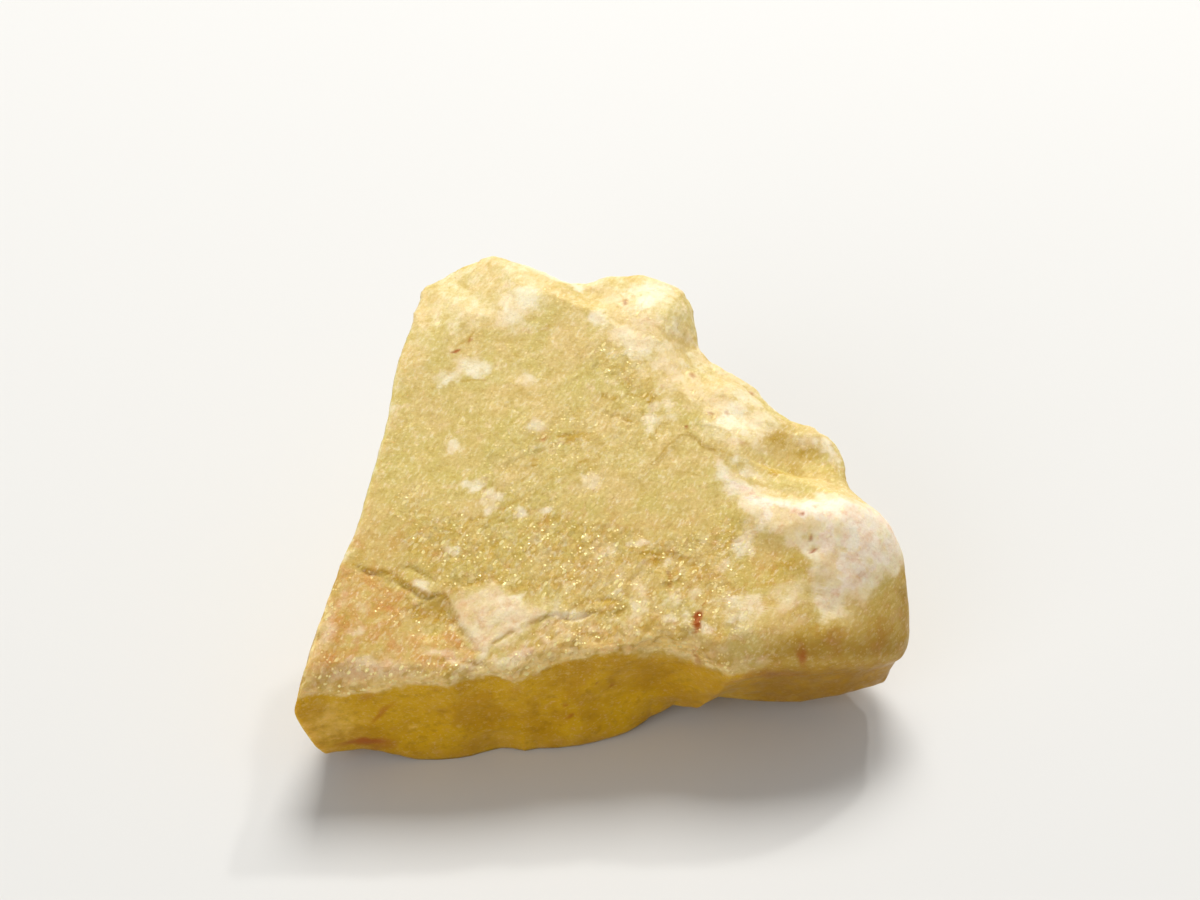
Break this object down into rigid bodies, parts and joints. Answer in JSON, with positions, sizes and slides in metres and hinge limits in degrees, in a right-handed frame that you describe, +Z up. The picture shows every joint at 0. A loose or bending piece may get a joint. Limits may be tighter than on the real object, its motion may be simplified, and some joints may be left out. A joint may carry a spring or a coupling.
{
  "type": "rough danburite crystal",
  "caption": "Rough wedge of cloudy yellow danburite: a sloping crystal face, a bevelled corner, a worn lobe and broken walls, on a flat break.",
  "frame": {"origin": "middle of the footprint box of the stone, on the plane that it rests on", "axes": "+X along the front edge to the right, +Y to the high back end, +Z up from the resting break"},
  "size_m": [0.0298, 0.0218, 0.016],
  "materials": {
    "danburite": "cloudy translucent honey yellow, frosted on the crystal face, waxy on the breaks, with milky white worn edges"
  },
  "bodies": {
    "root": {"danburite_crystal": "danburite"}
  },
  "joints": []
}
